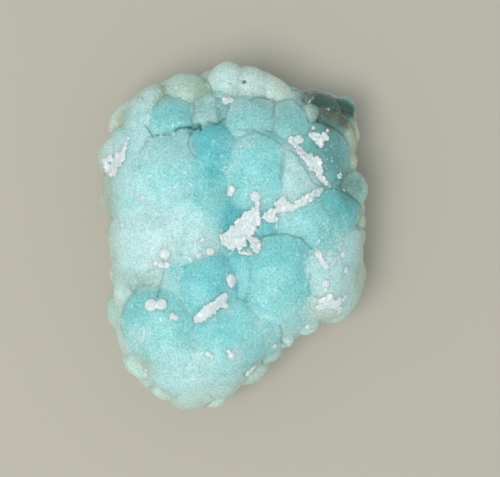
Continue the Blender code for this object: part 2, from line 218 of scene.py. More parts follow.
# Soft marks on the top: what it is, x, y, half width, half length, turn and strength.
marks = {
    "westMilk": ("milk", -12.8, -0.4, 5.4, 3.8, 0, 0.60),
    "bridgeMilk": ("milk", -5.8, -0.6, 3.4, 2.4, 0, 0.25),
    "frostyFoot": ("milk", -12.8, -14.0, 1.7, 1.7, 0, 0.8),
    "southMilk": ("milk", -6.8, -20.0, 4.4, 3.0, 0, 0.30),
    "southRidgeMilk": ("milk", -3.2, -17.2, 1.2, 3.4, 20, 0.5),
    # partly the ridge's own white, partly painted glow where its slope turns away from the light
    "ridgeMilk": ("milk", 4.4, 21.3, 4.4, 1.9, -29, 0.95),
    "ridgeSoft": ("soft", 3.2, 21.4, 4.6, 2.0, -25, 1.0),
    "knobMilk": ("milk", -0.4, 22.6, 2.8, 2.0, 0, 0.35),
    "lipMilk": ("milk", -0.7, 19.6, 1.2, 1.0, 0, 0.8),
    "tipMilk": ("milk", -16.8, 12.0, 1.6, 3.0, 0, 0.7),
    "stepMilk": ("milk", -13.4, 19.6, 1.6, 1.8, 0, 0.5),
    "facetMilk": ("milk", 8.9, 9.4, 1.1, 4.2, 33, 0.42),
    "crownMilk": ("milk", -8.6, 12.4, 3.6, 1.8, 0, 0.35),
    "spotMilk": ("milk", 0.5, -16.2, 1.2, 1.2, 0, 0.7),
    "seamMilk": ("milk", 1.6, 13.6, 2.4, 1.0, -20, 0.5),
    "cornerMilk": ("milk", 13.6, -10.0, 2.6, 1.4, 20, 0.5),
    "heartDeep": ("deep", -3.0, -5.8, 2.4, 2.6, 0, 0.40),
    # partly painted shadow: the west crown's shadow on the north crown
    "northDeep": ("deep", -3.2, 11.2, 2.4, 2.6, 0, 0.25),
    "crownDeep": ("deep", -5.6, 7.6, 2.2, 3.4, -35, 0.40),
    # partly painted shade in the deep hollow
    "hollowDeep": ("deep", -0.2, 3.8, 1.7, 2.8, 0, 0.40),
    "eastDeep": ("deep", 6.0, 8.6, 1.6, 3.4, 10, 0.30),
    # partly painted shade
    "beadDeep": ("deep", 14.6, 4.4, 2.8, 0.9, -10, 0.40),
    "crescentDeep": ("deep", -13.8, -9.8, 1.1, 3.4, -32, 0.40),
    "southDeep": ("deep", -1.6, -12.2, 2.6, 2.2, 0, 0.25),
    "southEastDeep": ("deep", 5.4, -3.4, 2.2, 2.6, 0, 0.30),
    "sideDeep": ("deep", 8.8, -6.4, 1.4, 4.0, -10, 0.12),
    "wedgeDeep": ("deep", 0.6, -3.2, 2.0, 1.6, 0, 0.25),
    # partly painted shadow from the west crown
    "shadedDeep": ("deep", -7.8, 16.6, 2.0, 1.6, 20, 0.35),
    # The green marks darken toward a near-black green: partly the stone's darker green, partly painted
    # shade where the north band, the notch and the upper right corner lie in shade.
    "northShade": ("greenAndShade", -1.0, 18.0, 13.0, 3.4, 0, 0.14),
    "notchGreen": ("greenAndShade", -12.6, -6.0, 4.0, 1.7, 0, 0.24),
    "westGreen": ("greenAndShade", -17.4, 4.6, 1.6, 6.4, 4, 0.10),
    "cornerGreen": ("greenAndShade", 13.2, 19.4, 4.6, 1.9, -14, 1.0),
    "cornerSideGreen": ("greenAndShade", 16.4, 17.6, 1.4, 2.4, 0, 0.8),
    "ledgeGreen": ("greenAndShade", 13.6, 16.4, 2.8, 1.4, -15, 0.55),
    "tealGreen": ("greenAndShade", 13.8, 12.4, 2.4, 4.2, 0, 0.50),
    "greyGreen": ("greenAndShade", 16.6, 7.2, 2.2, 2.6, 0, 0.55),
    "knobGreen": ("greenAndShade", 8.4, 16.4, 2.8, 2.8, 0, 0.16),
    "northGreen": ("greenAndShade", -3.6, 17.6, 3.0, 2.2, 0, 0.12),
    "blueGreen": ("greenAndShade", 14.6, 4.2, 3.0, 2.0, -14, 0.16),
    "saddleGreen": ("greenAndShade", 12.6, 0.4, 2.6, 2.4, 0, 0.10),
    "knobOlive": ("olive", -5.6, 21.0, 2.4, 1.8, 0, 0.50),
    "stepOlive": ("olive", -9.8, 20.0, 1.0, 1.6, -20, 0.5),
    "cornerOlive": ("olive", -15.8, 16.6, 1.2, 2.0, -20, 0.6),
    "footOlive": ("olive", -12.4, -17.6, 2.0, 1.2, -45, 0.5),
    "ledgeOlive": ("olive", 17.4, 13.6, 0.8, 3.0, 0, 0.8),
    "beadOlive": ("olive", 18.2, 2.4, 0.8, 2.0, 0, 0.6),
    "westOlive": ("olive", -17.8, 5.0, 1.5, 6.4, 4, 0.55),
    "eastOlive": ("olive", 18.3, -4.6, 1.1, 5.0, 0, 0.35),
    "southOlive": ("olive", -5.0, -23.8, 6.0, 1.0, -14, 0.2),
    "ridgeOlive": ("olive", 6.6, 21.0, 1.6, 0.6, -32, 0.5),
    "crystalDrusy": ("drusy", 10.4, 2.4, 3.2, 3.0, 0, 1.0),
    "shelfDrusy": ("drusy", 9.8, -8.6, 1.0, 2.0, 0, 0.8),
    "eastDrusy": ("drusy", 14.4, -3.6, 3.2, 4.0, 0, 0.6),
    "middleDrusy": ("drusy", 0.0, -2.6, 3.0, 2.4, 0, 0.5),
    "southDrusy": ("drusy", 2.6, -13.0, 2.6, 2.6, 0, 0.5),
    "heartDrusy": ("drusy", -6.6, -5.6, 1.2, 2.4, -20, 0.7),
    "footDrusy": ("drusy", -12.8, -14.0, 2.0, 2.0, 0, 0.8),
    # where domes run into each other with no sharp border
    "crownSoft": ("soft", -8.5, 6.3, 4.0, 3.6, 0, 1.0),
    "flankSoft": ("soft", -14.4, 8.0, 3.0, 4.0, 0, 0.9),
    "middleSoft": ("soft", -4.7, 2.6, 4.0, 2.4, 0, 0.9),
    "paleSoft": ("soft", -8.7, -0.2, 2.6, 3.4, 0, 0.9),
    "notchSoft": ("soft", -14.0, -4.6, 4.2, 2.4, 0, 0.8),
    "northSoft": ("soft", -2.6, 7.4, 2.8, 2.0, 0, 0.8),
    "footSoft": ("soft", -9.6, -17.0, 5.4, 3.4, 0, 1.0),
    "southSoft": ("soft", -2.4, -18.0, 5.6, 3.6, 0, 1.0),
    "shelfSoft": ("soft", 7.2, -11.6, 4.6, 2.6, 25, 0.9),
    "cornerSoft": ("soft", 14.6, -5.4, 3.6, 5.6, 0, 0.9),
    "eastSoft": ("soft", 12.0, 1.6, 3.6, 2.6, 0, 0.7),
}


def markLooks(x, y, wanted):        # the soft marks of one kind, added up
    total = np.zeros(np.shape(x))
    for kind, markX, markY, halfWidth, halfLength, turn, strength in marks.values():
        if kind == wanted:
            away = distanceSquared(x, y, (markX, markY, 0, halfWidth, halfLength, turn))
            total += strength * np.exp(-away ** 1.5)
    return np.clip(total, 0, 1)


def capRise(x, y, cap):     # how far a cap stands over the broad shape
    inside = stone["capRound"] ** 2 - distanceSquared(x, y, cap)
    bulge = np.sqrt(np.maximum(inside, 0)) - math.sqrt(stone["capRound"] ** 2 - 1)
    return cap[2] + stone["swell"] * math.sqrt(cap[3] * cap[4]) * bulge + 3 * np.minimum(inside, 0)


def topHeight(x, y):        # the highest cap at each place, blended a little with the next
    rises = np.array([capRise(x, y, cap) for cap in caps.values()])
    highest = rises.max(axis=0)
    blend = stone["capBlend"] + stone["softBlend"] * markLooks(x, y, "soft")
    return broadHeight(x, y) + highest + blend * np.log(np.exp((rises - highest) / blend).sum(axis=0))


# Thin dark lines where domes meet sharply, painted shade for the narrow shadows in those creases: how dark,
# half width, how deep, then the places along each.
seams = {
    "westGap": (1.0, 0.20, 0.45, ((-7.8, 15.1), (-6.8, 15.25), (-5.2, 15.4))),
    "gapTail": (0.4, 0.12, 0.1, ((-10.4, 14.5), (-9.0, 14.9), (-7.8, 15.1))),
    "gapEnd": (1.0, 0.22, 0.6, ((-5.2, 15.6), (-4.7, 15.8), (-4.6, 15.4))),
    "foldGap": (0.7, 0.16, 0.2, ((-3.2, 16.4), (-2.0, 16.2), (-1.0, 16.8))),
    "westCrack": (0.6, 0.11, 0.08, ((-12.0, 15.7), (-11.3, 15.1), (-10.7, 14.3))),
    "stepLine": (0.5, 0.14, 0.1, ((-13.5, 20.2), (-12.8, 19.4), (-12.2, 18.8))),
    "foldLine": (0.5, 0.15, 0.1, ((-5.6, 18.7), (-5.6, 17.6), (-5.7, 16.4))),
    "knobLine": (0.5, 0.16, 0.15, ((-3.5, 22.1), (-2.8, 20.2), (-2.0, 19.4), (-0.7, 18.7))),
    "lipLine": (0.4, 0.13, 0.08, ((-1.9, 22.1), (-0.7, 21.7), (0.2, 21.4))),
    "crownSide": (0.55, 0.12, 0.06, ((-5.8, 14.6), (-6.1, 13.0), (-5.7, 11.8), (-5.0, 10.8))),
    "eastArc": (0.45, 0.13, 0.1, ((1.0, 15.4), (3.0, 14.9), (4.9, 14.3), (6.2, 13.5), (7.4, 12.7),
                                  (8.7, 11.8), (9.7, 10.3), (10.7, 9.0), (11.5, 7.7), (12.5, 7.0),
                                  (13.6, 7.1), (14.1, 8.2), (15.3, 9.0), (17.1, 9.8))),
    "northArc": (0.6, 0.13, 0.1, ((2.4, 19.3), (3.1, 19.7), (4.4, 19.9), (5.7, 19.7), (6.3, 19.3),
                                  (7.4, 19.4), (8.4, 19.0), (9.4, 18.4), (10.2, 17.4), (10.8, 16.1))),
    "knobSide": (0.45, 0.14, 0.08, ((6.3, 19.3), (5.7, 18.4), (5.6, 16.9))),
    "ledgeLine": (0.6, 0.15, 0.1, ((12.3, 16.1), (13.6, 16.1), (14.6, 15.4), (15.6, 14.3), (16.1, 13.3))),
    "greyLine": (0.5, 0.15, 0.1, ((14.2, 7.0), (15.8, 6.6), (16.6, 5.7), (17.6, 5.1), (18.5, 4.3))),
    "southEastArc": (0.65, 0.13, 0.1, ((3.7, 0.3), (4.6, 0.76), (5.7, 0.9), (6.8, 0.76), (7.7, 0.45),
                                       (8.8, 0.0), (9.7, -0.6), (10.9, -1.3))),
    "benchLine": (0.4, 0.14, 0.08, ((11.1, -5.1), (10.5, -6.9), (10.6, -7.8), (11.9, -8.8))),
    "notchCrease": (0.6, 0.15, 0.12, ((6.6, -12.3), (6.9, -12.8), (6.9, -13.7), (7.1, -14.5),
                                      (7.7, -15.3))),
    "notchTick": (0.6, 0.12, 0.1, ((4.1, -17.2), (4.4, -18.1))),
    "chipSide": (0.5, 0.13, 0.08, ((1.7, -19.1), (2.3, -19.9))),
    "heartTopLine": (0.3, 0.18, 0.05, ((-7.6, -2.1), (-6.0, -2.1), (-4.8, -2.7))),
    "crescentLine": (0.3, 0.20, 0.06, ((-15.5, -11.0), (-15.0, -9.2), (-14.0, -7.7), (-12.8, -6.7),
                                       (-11.4, -6.4))),
    "notchSide": (0.5, 0.14, 0.1, ((-9.2, -4.6), (-9.7, -5.8), (-10.0, -7.2), (-10.2, -7.9))),
}
rustLines = {      # thin orange-brown stains: the same, with no depth
    "ledgeRust": (1.0, 0.16, ((11.2, 18.3), (12.0, 18.3), (13.6, 17.9), (14.6, 17.2), (15.9, 16.2),
                              (16.7, 15.3))),
    "backRust": (0.8, 0.20, ((8.6, 21.0), (10.2, 21.1), (11.8, 21.2))),
    "oliveRust": (0.5, 0.30, ((17.3, 15.6), (17.7, 13.8), (17.5, 12.0), (18.0, 10.2))),
    "footRust": (0.5, 0.25, ((-17.9, 0.9), (-17.4, 0.6))),
}
pits = {           # tiny holes, painted dark as shade: x, y, half width
    "ridgePit": (1.9, 22.0, 0.30),
    "gapPit": (-4.75, 15.75, 0.26),
    "notchPit": (-10.2, -7.8, 0.12),
    "heartPit": (-6.4, -3.7, 0.10),
    "sidePit": (-7.3, -4.8, 0.11),
    "lowPit": (-5.9, -8.8, 0.09),
}
pitShade = 1.3      # how dark the painted shade in the pits is, and how deep they are
pitDepth = 0.5


def newMeshObject(name, mesh):
    obj = bpy.data.objects.new(name, mesh)
    bpy.context.scene.collection.objects.link(obj)
    return obj


def applyModifiers(obj):
    mesh = bpy.data.meshes.new_from_object(obj.evaluated_get(bpy.context.evaluated_depsgraph_get()))
    obj.modifiers.clear()
    old = obj.data
    obj.data = mesh
    bpy.data.meshes.remove(old)


def addSkin(work):      # the top with all its caps as rings and spokes, a leaning wall and a foot
    rings = stone["skinRings"]
    spokes = stone["skinSpokes"]
    angles = np.linspace(0, math.tau, spokes, endpoint=False)
    reach = outlineReach(angles) * stone["topReach"]
    share = np.sin(math.pi / 2 * np.arange(1, rings + 1) / rings)[:, None]
    x = share * reach * np.cos(angles)
    y = share * reach * np.sin(angles)
    z = topHeight(x, y)
    lean = stone["footReach"] / stone["topReach"]
    rows = [[work.verts.new(place) for place in zip(*row)] for row in zip(x, y, z)]
    foot = zip(x[-1] * lean, y[-1] * lean)
    rows.append([work.verts.new((footX, footY, stone["footHeight"])) for footX, footY in foot])
    middle = work.verts.new((0, 0, float(topHeight(0.0, 0.0))))
    for spoke in range(spokes):
        work.faces.new((middle, rows[0][spoke - 1], rows[0][spoke]))
        for inner, outer in zip(rows, rows[1:]):
            work.faces.new((inner[spoke - 1], outer[spoke - 1], outer[spoke], inner[spoke]))
    work.faces.new(reversed(rows[-1]))


def rimEllipsoids():    # each rim knob as its centre, radii and turn
    out = []
    for x, y, stand, halfWidth, halfLength, turn, *looks in rimKnobs.values():
        depth = stone["knobDepth"] * (halfWidth + halfLength) / 2
        height = float(broadHeight(x, y)) + stand - depth
        out.append(((x, y, height), (halfWidth, halfLength, depth), math.radians(turn)))
    return out


def flankEllipsoids():      # rings of knobs down the side, more and more inset toward the base
    chance = random.Random(stone["flankSeed"])
    out = []
    for height, radius, inset, count in stone["flankRings"]:
        for step in range(count):
            angle = math.tau * (step + chance.uniform(-0.25, 0.25)) / count
            size = radius * chance.uniform(0.82, 1.15)
            away = float(outlineReach(angle)) - size - inset
            z = height + chance.uniform(-0.8, 0.8)
            centre = (away * math.cos(angle), away * math.sin(angle), z)
            out.append((centre, (size, size, size), 0.0))
    return out


def lineDistance(x, y, places):     # how far each point is from a line through some places
    nearest = np.full(x.shape, 99.0)
    for (startX, startY), (endX, endY) in zip(places, places[1:]):
        runX = endX - startX
        runY = endY - startY
        along = np.clip(((x - startX) * runX + (y - startY) * runY) / (runX ** 2 + runY ** 2), 0, 1)
        nearest = np.minimum(nearest, np.hypot(x - startX - along * runX, y - startY - along * runY))
    return nearest


def seamLooks(x, y):        # how dark the painted shade of the thin lines and the pits is, and how deep they are, at each point
    seamShade = np.zeros(x.shape)
    deep = np.zeros(x.shape)
    for strength, width, depth, places in seams.values():
        share = np.exp(-(lineDistance(x, y, places) / width) ** 2)
        seamShade = np.maximum(seamShade, strength * share)
        deep = np.maximum(deep, depth * share)
    for pitX, pitY, width in pits.values():
        share = np.exp(-(np.hypot(x - pitX, y - pitY) / width) ** 4)
        seamShade = np.maximum(seamShade, pitShade * share)
        deep = np.maximum(deep, pitDepth * share)
    return seamShade, deep


def rustLooks(x, y):
    return np.max([strength * np.exp(-(lineDistance(x, y, places) / width) ** 2)
                   for strength, width, places in rustLines.values()], axis=0)


def domeLooks(points, sides):      # which dome each point belongs to, and how near the next one is
    x, y, z = points.T
    broad = broadHeight(x, y)
    gaps = []
    looks = []
    for cap in caps.values():
        gaps.append(z - broad - capRise(x, y, cap))
        looks.append(cap[6:])
    looks += [knob[6:] for knob in rimKnobs.values()]
    chance = random.Random(stone["sideSeed"])
    looks += [(chance.uniform(0.1, 0.5), chance.uniform(0.3, 0.9)) for side in sides[len(rimKnobs):]]
    for centre, radii, turn in sides:
        turned = (points - centre) @ np.array(Matrix.Rotation(-turn, 3, "Z")).T
        gaps.append((np.linalg.norm(turned / radii, axis=1) - 1) * min(radii))
    gaps = np.abs(np.array(gaps))
    nearest = np.partition(gaps, 1, axis=0)
    away = nearest[1] - nearest[0]
    soft = markLooks(x, y, "soft")
    crease = np.exp(-(away / stone["creaseWidth"]) ** 2) * (1 - stone["softCrease"] * soft)
    weights = np.exp(-(gaps - nearest[0]) / (stone["lookBlend"] + stone["softBlend"] * soft))
    weights /= weights.sum(axis=0)
    blue, warm = np.array(looks).T @ weights
    return crease, 1 - np.exp(-away / stone["insideWidth"]), blue, warm


def storeAttribute(mesh, name, values):
    layer = mesh.attributes.new(name, "FLOAT", "POINT")
    layer.data.foreach_set("value", np.asarray(values, dtype=np.float32))


def readPoints(mesh):
    flat = np.empty(len(mesh.vertices) * 3, dtype=np.float32)
    mesh.vertices.foreach_get("co", flat)
    return flat.reshape(-1, 3).astype(float)


def readNormals(mesh):
    flat = np.empty(len(mesh.vertices) * 3, dtype=np.float32)
    mesh.vertex_normals.foreach_get("vector", flat)
    return flat.reshape(-1, 3).astype(float)


def noiseAt(points, size):      # one smooth random vector for each point
    return np.array([noise.noise_vector(Vector(point) / size) for point in points])


def remeshBody(obj, voxel):     # everything in it becomes one closed body
    remesh = obj.modifiers.new("one body", "REMESH")
    remesh.mode = "VOXEL"
    remesh.voxel_size = voxel
    remesh.use_smooth_shade = True
    applyModifiers(obj)
    print(obj.name, "remeshed:", len(obj.data.polygons), "faces")


def placePoints(mesh, points):      # moves the points of a finished mesh, given in millimetres
    mesh.vertices.foreach_set("co", (points * mm).astype(np.float32).ravel())
    mesh.polygons.foreach_set("use_smooth", np.ones(len(mesh.polygons), dtype=bool))
    mesh.update()
    print(mesh.name, "shaped:", len(mesh.polygons), "faces")


def thinStone(obj):     # fewer faces, most of them kept on the top
    group = obj.vertex_groups.new(name="bands")
    points = readPoints(obj.data)
    points[:, 2] = np.maximum(points[:, 2], 0)      # flat below first, so that the foot keeps its outline
    obj.data.vertices.foreach_set("co", points.astype(np.float32).ravel())
    heights = points[:, 2]
    for low, high, weight in stone["thinning"]:
        chosen = np.flatnonzero((heights >= low) & (heights < high))
        group.add(chosen.tolist(), weight, "REPLACE")
    thin = obj.modifiers.new("fewer faces", "DECIMATE")
    thin.ratio = stone["triangles"] / (2 * len(obj.data.polygons))
    thin.vertex_group = group.name
    thin.vertex_group_factor = stone["bandPull"]
    applyModifiers(obj)
    obj.vertex_groups.clear()


def makeStone():
    work = bmesh.new()
    addSkin(work)
    sides = rimEllipsoids() + flankEllipsoids()
    for centre, radii, turn in sides:
        matrix = Matrix.LocRotScale(Vector(centre), Euler((0, 0, turn)), Vector(radii))
        bmesh.ops.create_icosphere(work, subdivisions=4, radius=1, matrix=matrix)
    mesh = bpy.data.meshes.new("smithsoniteStone")
    work.to_mesh(mesh)
    work.free()
    obj = newMeshObject("smithsoniteStone", mesh)
    remeshBody(obj, stone["voxel"])
    thinStone(obj)

    mesh = obj.data
    points = readPoints(mesh)
    normals = readNormals(mesh)
    x, y, z = points.T
    top = smoothStep((z - stone["topStart"]) / stone["topFade"])
    crease, inside, blue, warm = domeLooks(points, sides)
    bend = noiseAt(points, stone["warpSize"])
    wander = noiseAt(points, stone["rippleSize"])
    placeX = x + wander[:, 0] * stone["markWander"]
    placeY = y + wander[:, 1] * stone["markWander"]
    seamShade, deep = seamLooks(placeX, placeY)
    share = np.hypot(x, y) / outlineReach(np.arctan2(y, x))
    rim = smoothStep((share - stone["rimStart"]) / (1 - stone["rimStart"]))
    # crease is the painted shade of the seams and pits, on the top only
    looks = {"crease": np.clip(seamShade * top, 0, 1), "border": crease, "steep": 1 - np.abs(normals[:, 2]),
             "inside": inside, "blue": blue, "warm": warm, "rim": rim,
             "rust": rustLooks(placeX, placeY) * top}
    for name, values in looks.items():
        storeAttribute(mesh, name, values)
    markX = x + 2 * wander[:, 0] * stone["markWander"]
    markY = y + 2 * wander[:, 1] * stone["markWander"]
    for kind in ("milk", "deep", "greenAndShade", "olive", "drusy"):
        storeAttribute(mesh, kind, markLooks(markX, markY, kind) * top)

    points -= normals * (crease * stone["creaseDepth"] + deep * top)[:, None]
    points += bend * stone["warpDepth"]
    points += normals * wander[:, 2:] * stone["rippleDepth"]
    points += normals * noiseAt(points, stone["pebbleSize"])[:, :1] * stone["pebbleDepth"]
    places = [Vector((x, y, 7)) / stone["backSize"] for x, y, z in points]
    back = np.array([noise.fractal(place, 0.6, 2.1, 4) for place in places])
    back = np.clip(back + 0.15, 0, 1) * stone["backRelief"]
    points[:, 2] = np.maximum(points[:, 2], back)
    backShare = np.clip((stone["backHeight"] - points[:, 2]) / stone["backFade"], 0, 1)
    storeAttribute(mesh, "back", backShare * (normals[:, 2] < 0.2))
    placePoints(mesh, points)
    return obj


# The white crust: groups of lumps as x, y and half width.
# Clumps are rough, discs are smooth, films are thin.
crust = {
    "clumpHeight": 0.32,     # how high a lump stands for its half width
    "discHeight": 0.40,
    "filmHeight": 0.16,
    "filmLobes": 7,          # small lobes round the edge of a film
    "clumpCore": 0.9,        # half width of a clump's middle for the whole clump
    "lobeSize": 0.30,        # half width of the lobes that make a clump rough
    "lobeSpread": 0.4,
    "lobesPerArea": 1.6,
    "lobeFlat": 0.75,
    "roughSize": 0.30,
    "roughDepth": 0.05,
    "voxel": 0.085,
    "triangles": 150000,
    "seed": 23,
}
crustGroups = {
    "centre": ("clump", ((-0.4, -0.2, 1.1), (0.6, 0.6, 1.2), (1.4, 1.5, 1.2), (2.3, 2.6, 1.0),
                         (3.0, 3.4, 0.8), (1.0, -0.6, 0.9), (0.0, -1.0, 0.6), (2.6, 1.2, 0.6),
                         (3.3, 2.3, 0.6), (-1.2, 0.2, 0.5))),
    "tail": ("disc", ((3.2, 5.7, 0.78), (3.5, 4.7, 0.42), (3.4, 4.1, 0.42))),
    "centreFoot": ("clump", ((3.0, -0.4, 0.5), (3.2, -0.9, 0.7), (3.4, -1.5, 0.5), (2.4, 0.0, 0.35))),
    "footSpecks": ("clump", ((1.0, -2.0, 0.22), (1.5, -2.05, 0.26), (2.1, -2.1, 0.26), (2.6, -2.2, 0.2))),
    "diagonal": ("clump", ((5.0, 3.0, 0.7), (5.8, 2.7, 0.5), (5.5, 3.6, 0.45), (6.6, 4.5, 0.8),
                           (7.5, 4.5, 0.65), (8.2, 4.1, 0.5), (7.0, 5.3, 0.4), (9.1, 4.7, 0.5),
                           (9.9, 5.1, 0.6), (10.8, 5.7, 0.55), (11.6, 6.2, 0.5), (12.2, 6.6, 0.35))),
    "east": ("clump", ((8.4, 13.5, 0.6), (9.2, 13.7, 0.55), (8.8, 12.8, 0.35), (9.2, 12.1, 0.5),
                       (9.8, 11.4, 0.5), (10.7, 10.8, 0.75), (11.6, 10.5, 0.7), (11.2, 9.8, 0.6),
                       (12.1, 9.5, 0.5), (12.0, 8.7, 0.4), (12.5, 8.2, 0.45), (13.0, 7.7, 0.3))),
    "teal": ("clump", ((11.2, 15.3, 0.28), (11.0, 14.4, 0.35), (11.5, 14.1, 0.5), (12.1, 13.5, 0.5),
                       (12.3, 12.9, 0.35), (12.8, 14.1, 0.5), (13.2, 14.9, 0.22), (13.1, 13.7, 0.25))),
    "eastSpots": ("clump", ((15.0, 8.7, 0.38), (15.6, 6.7, 0.2))),
    "bench": ("disc", ((11.9, -2.2, 0.6), (12.3, -3.0, 0.45), (12.6, -3.5, 0.5), (13.0, -4.0, 0.42))),
    "benchSpots": ("disc", ((15.4, -2.3, 0.48), (15.9, -4.5, 0.55), (12.9, -6.3, 0.58))),
    "shelf": ("clump", ((12.6, -9.0, 0.7), (13.4, -8.5, 0.7), (13.9, -9.3, 0.5), (14.5, -9.2, 0.55),
                        (14.8, -10.0, 0.45), (15.1, -8.6, 0.4), (15.7, -8.2, 0.25), (12.0, -9.7, 0.35))),
    "shelfSpots": ("disc", ((10.6, -12.5, 0.38), (11.0, -9.2, 0.18), (7.8, -11.7, 0.2),
                            (5.9, -15.2, 0.42))),
    "west": ("disc", ((-9.3, -2.2, 0.8), (-11.3, -3.2, 0.26), (-10.6, -3.5, 0.42), (-9.8, -3.75, 0.5),
                      (-9.0, -3.75, 0.5))),
    "heartTop": ("disc", ((-3.05, -1.9, 0.65), (-4.6, -2.4, 0.45))),
    "heartSpecks": ("clump", ((-4.6, -0.7, 0.22), (-4.1, -0.25, 0.28))),
    "southWest": ("disc", ((-11.2, -9.2, 0.92), (-9.7, -9.1, 0.82), (-8.2, -10.7, 0.48),
                           (-7.7, -11.0, 0.4))),
    "heartSide": ("disc", ((-0.15, -5.7, 0.8), (-0.05, -6.3, 0.6))),
    "heart": ("film", ((-4.9, -11.3, 0.5), (-4.3, -10.8, 0.75), (-3.5, -10.2, 0.85), (-2.7, -9.6, 0.8),
                       (-1.9, -9.0, 0.75), (-1.3, -8.3, 0.6), (-0.9, -9.3, 0.4), (-1.0, -7.9, 0.4))),
    "south": ("disc", ((-3.3, -16.0, 0.42), (-2.8, -16.3, 0.32), (-0.1, -16.2, 0.55), (-0.5, -15.6, 0.35))),
    "chip": ("disc", ((2.3, -18.9, 0.75), (2.9, -18.3, 0.6))),
    "north": ("disc", ((-0.1, 6.7, 0.6), (-0.3, 6.2, 0.5), (1.2, 12.6, 0.25))),
    "westSpots": ("disc", ((-12.3, 5.6, 0.36), (-15.3, 1.8, 0.36), (-16.3, 2.3, 0.26), (-12.2, -18.6, 0.32),
                           (-15.7, -9.9, 0.36))),
    "westTip": ("film", ((-16.0, 10.9, 0.95), (-16.7, 10.2, 0.95), (-16.9, 9.2, 0.75), (-15.4, 11.4, 0.6),
                         (-17.5, 9.8, 0.7), (-18.0, 10.8, 0.5), (-17.2, 11.2, 0.5))),
    "westStreak": ("film", ((-14.5, 13.9, 0.3), (-14.8, 13.2, 0.34), (-15.0, 12.5, 0.36),
                            (-15.2, 11.9, 0.34))),
    "lip": ("film", ((-1.0, 19.1, 0.55), (-0.3, 19.3, 0.5))),
}


def lumpMatrix(tree, x, y, halfWidth, height, raised=0.0):     # where a flat ellipsoid lies on the stone
    place, normal, face, distance = tree.ray_cast(Vector((x, y, 40)) * mm, Vector((0, 0, -1)))
    if place is None:
        return []
    radii = Vector((halfWidth, halfWidth, height))
    return [Matrix.LocRotScale(place / mm + normal * raised, normal.to_track_quat("Z", "Y"), radii)]


def lobeMatrices(tree, chance, lumpX, lumpY, halfWidth):     # small lobes round its edge and over its top
    size = min(crust["lobeSize"], halfWidth * 0.5)
    edge = [(halfWidth - size * 0.4, 0.0)] * round(math.tau * halfWidth / size / 1.7)
    over = [(halfWidth * 0.8, 1.0)] * round(crust["lobesPerArea"] * math.pi * halfWidth ** 2)
    out = []
    for step, (away, inner) in enumerate(edge + over):
        away *= math.sqrt(chance.random()) if inner else 1
        if inner:
            angle = chance.uniform(0, math.tau)
        else:
            angle = math.tau * (step + chance.uniform(-0.4, 0.4)) / len(edge)
        own = size * chance.uniform(1 - crust["lobeSpread"], 1 + crust["lobeSpread"])
        left = math.sqrt(max(1 - (away / halfWidth) ** 2, 0))
        raised = crust["clumpHeight"] * halfWidth * left * 0.8
        x = lumpX + away * math.cos(angle)
        y = lumpY + away * math.sin(angle)
        out += lumpMatrix(tree, x, y, own, own * crust["lobeFlat"], raised)
    return out


def ballsMesh(name, matrices, subdivisions):        # one mesh of many ellipsoids
    work = bmesh.new()
    bmesh.ops.create_icosphere(work, subdivisions=subdivisions, radius=1)
    ball = np.array([vert.co for vert in work.verts])
    faces = np.array([[vert.index for vert in face.verts] for face in work.faces])
    work.free()
    moves = [np.array(matrix) for matrix in matrices]
    places = np.concatenate([ball @ move[:3, :3].T + move[:3, 3] for move in moves])
    corners = np.concatenate([faces + step * len(ball) for step in range(len(matrices))])
    mesh = bpy.data.meshes.new(name)
    mesh.vertices.add(len(places))
    mesh.vertices.foreach_set("co", places.astype(np.float32).ravel())
    mesh.loops.add(corners.size)
    mesh.loops.foreach_set("vertex_index", corners.ravel())
    mesh.polygons.add(len(corners))
    mesh.polygons.foreach_set("loop_start", np.arange(0, corners.size, 3))
    mesh.update(calc_edges=True)
    return mesh


def makeCrust(stoneObj):
    tree = BVHTree.FromObject(stoneObj, bpy.context.evaluated_depsgraph_get())
    chance = random.Random(crust["seed"])
    matrices = []
    for kind, lumps in crustGroups.values():
        for x, y, halfWidth in lumps:
            if kind == "clump":
                core = crust["clumpCore"] * halfWidth
                matrices += lumpMatrix(tree, x, y, core, crust["clumpHeight"] * halfWidth)
                matrices += lobeMatrices(tree, chance, x, y, halfWidth)
            elif kind == "disc":
                matrices += lumpMatrix(tree, x, y, halfWidth, crust["discHeight"] * halfWidth)
            else:
                matrices += lumpMatrix(tree, x, y, halfWidth, crust["filmHeight"])
                for step in range(crust["filmLobes"]):
                    angle = math.tau * (step + chance.uniform(-0.3, 0.3)) / crust["filmLobes"]
                    edgeX = x + halfWidth * 0.85 * math.cos(angle)
                    edgeY = y + halfWidth * 0.85 * math.sin(angle)
                    own = halfWidth * chance.uniform(0.2, 0.4)
                    matrices += lumpMatrix(tree, edgeX, edgeY, own, crust["filmHeight"] * 0.9)
    print("crust lumps:", len(matrices))
    obj = newMeshObject("whiteCrust", ballsMesh("whiteCrust", matrices, 3))
    remeshBody(obj, crust["voxel"])
    thin = obj.modifiers.new("fewer faces", "DECIMATE")
    thin.ratio = min(1, crust["triangles"] / (2 * len(obj.data.polygons)))
    applyModifiers(obj)
    points = readPoints(obj.data)
    placePoints(obj.data, points + noiseAt(points, crust["roughSize"]) * crust["roughDepth"])
    return obj


def newMaterial(name):
    material = bpy.data.materials.new(name)
    material.use_nodes = True
    tree = material.node_tree
    return material, tree, tree.nodes["Principled BSDF"]


def addNode(tree, kind, **settings):
    node = tree.nodes.new(kind)
    for name, value in settings.items():
        setattr(node, name, value)
    return node


def addNoise(tree, where, scale, detail=3.0, roughness=0.55):
    node = addNode(tree, "ShaderNodeTexNoise")
    node.inputs["Scale"].default_value = scale
    node.inputs["Detail"].default_value = detail
    node.inputs["Roughness"].default_value = roughness
    tree.links.new(where, node.inputs["Vector"])
    return node.outputs["Fac"]


